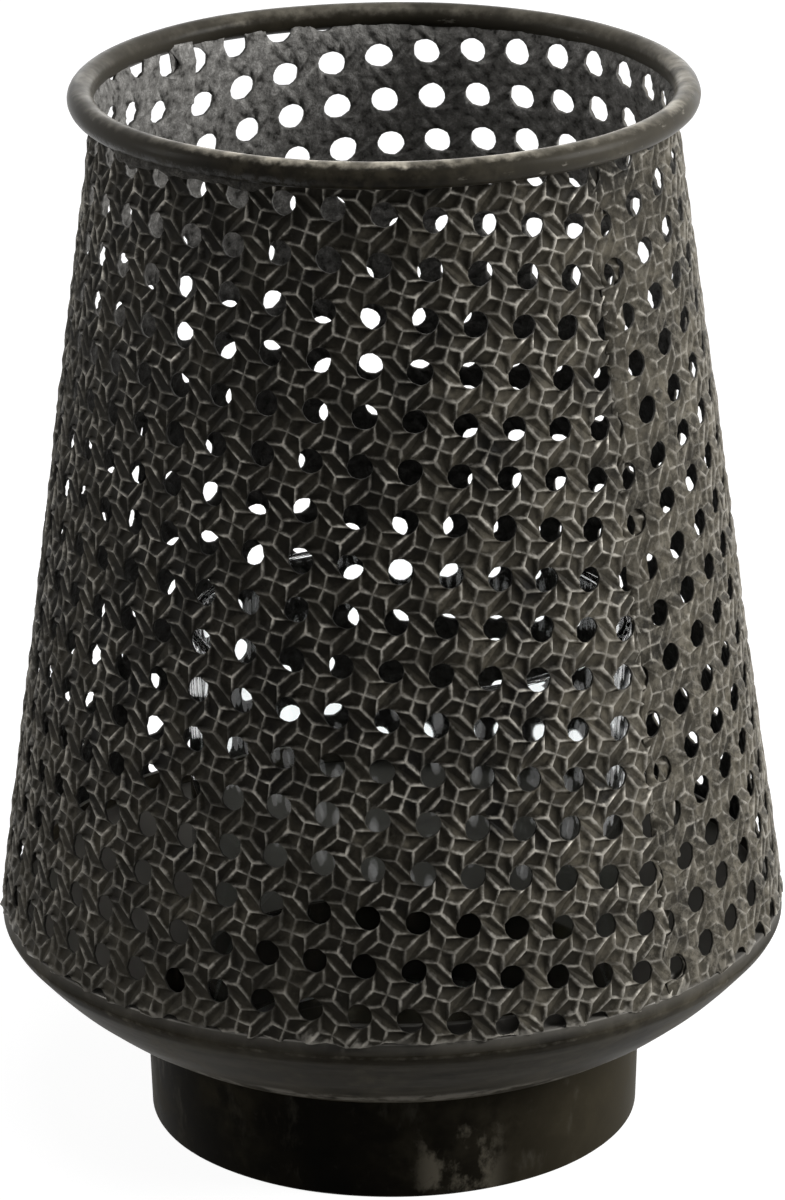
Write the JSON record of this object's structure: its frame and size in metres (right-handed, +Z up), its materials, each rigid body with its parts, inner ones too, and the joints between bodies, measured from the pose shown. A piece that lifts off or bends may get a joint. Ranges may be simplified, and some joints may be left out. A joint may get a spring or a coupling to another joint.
{
  "type": "hurricane lantern",
  "caption": "Tapered metal hurricane lantern: perforated woven-look wall, rolled rim, turned bowl and foot, and a loose open glass cylinder that lifts out.",
  "frame": {"origin": "centre of the foot's lower edge, on the surface that the lantern stands on", "axes": "+Z up; the pictured front faces -Y; +X is to the right in the picture"},
  "size_m": [0.2, 0.2, 0.2719],
  "materials": {
    "rim": "satin antique bronze-black, rubbed brighter on top",
    "mesh": "embossed sheet, dark antique bronze with worn ridges",
    "bowl": "spun sheet, dark antique bronze, faint turning lines",
    "foot": "dark antique bronze with pale smears",
    "floor": "dark antique bronze, plain",
    "glass": "clear, polished edges"
  },
  "bodies": {
    "lantern": {"rim_ring": "rim", "front_panel": "mesh", "rear_panel": "mesh", "bowl": "bowl", "foot_ring": "foot", "floor_plate": "floor"},
    "glass": {"glass_cylinder": "glass"}
  },
  "joints": [
    {"name": "glass_lift", "type": "slide", "parent": "lantern", "child": "glass", "axis": [0, 0, 1], "range_m": [0, 0.285]}
  ]
}
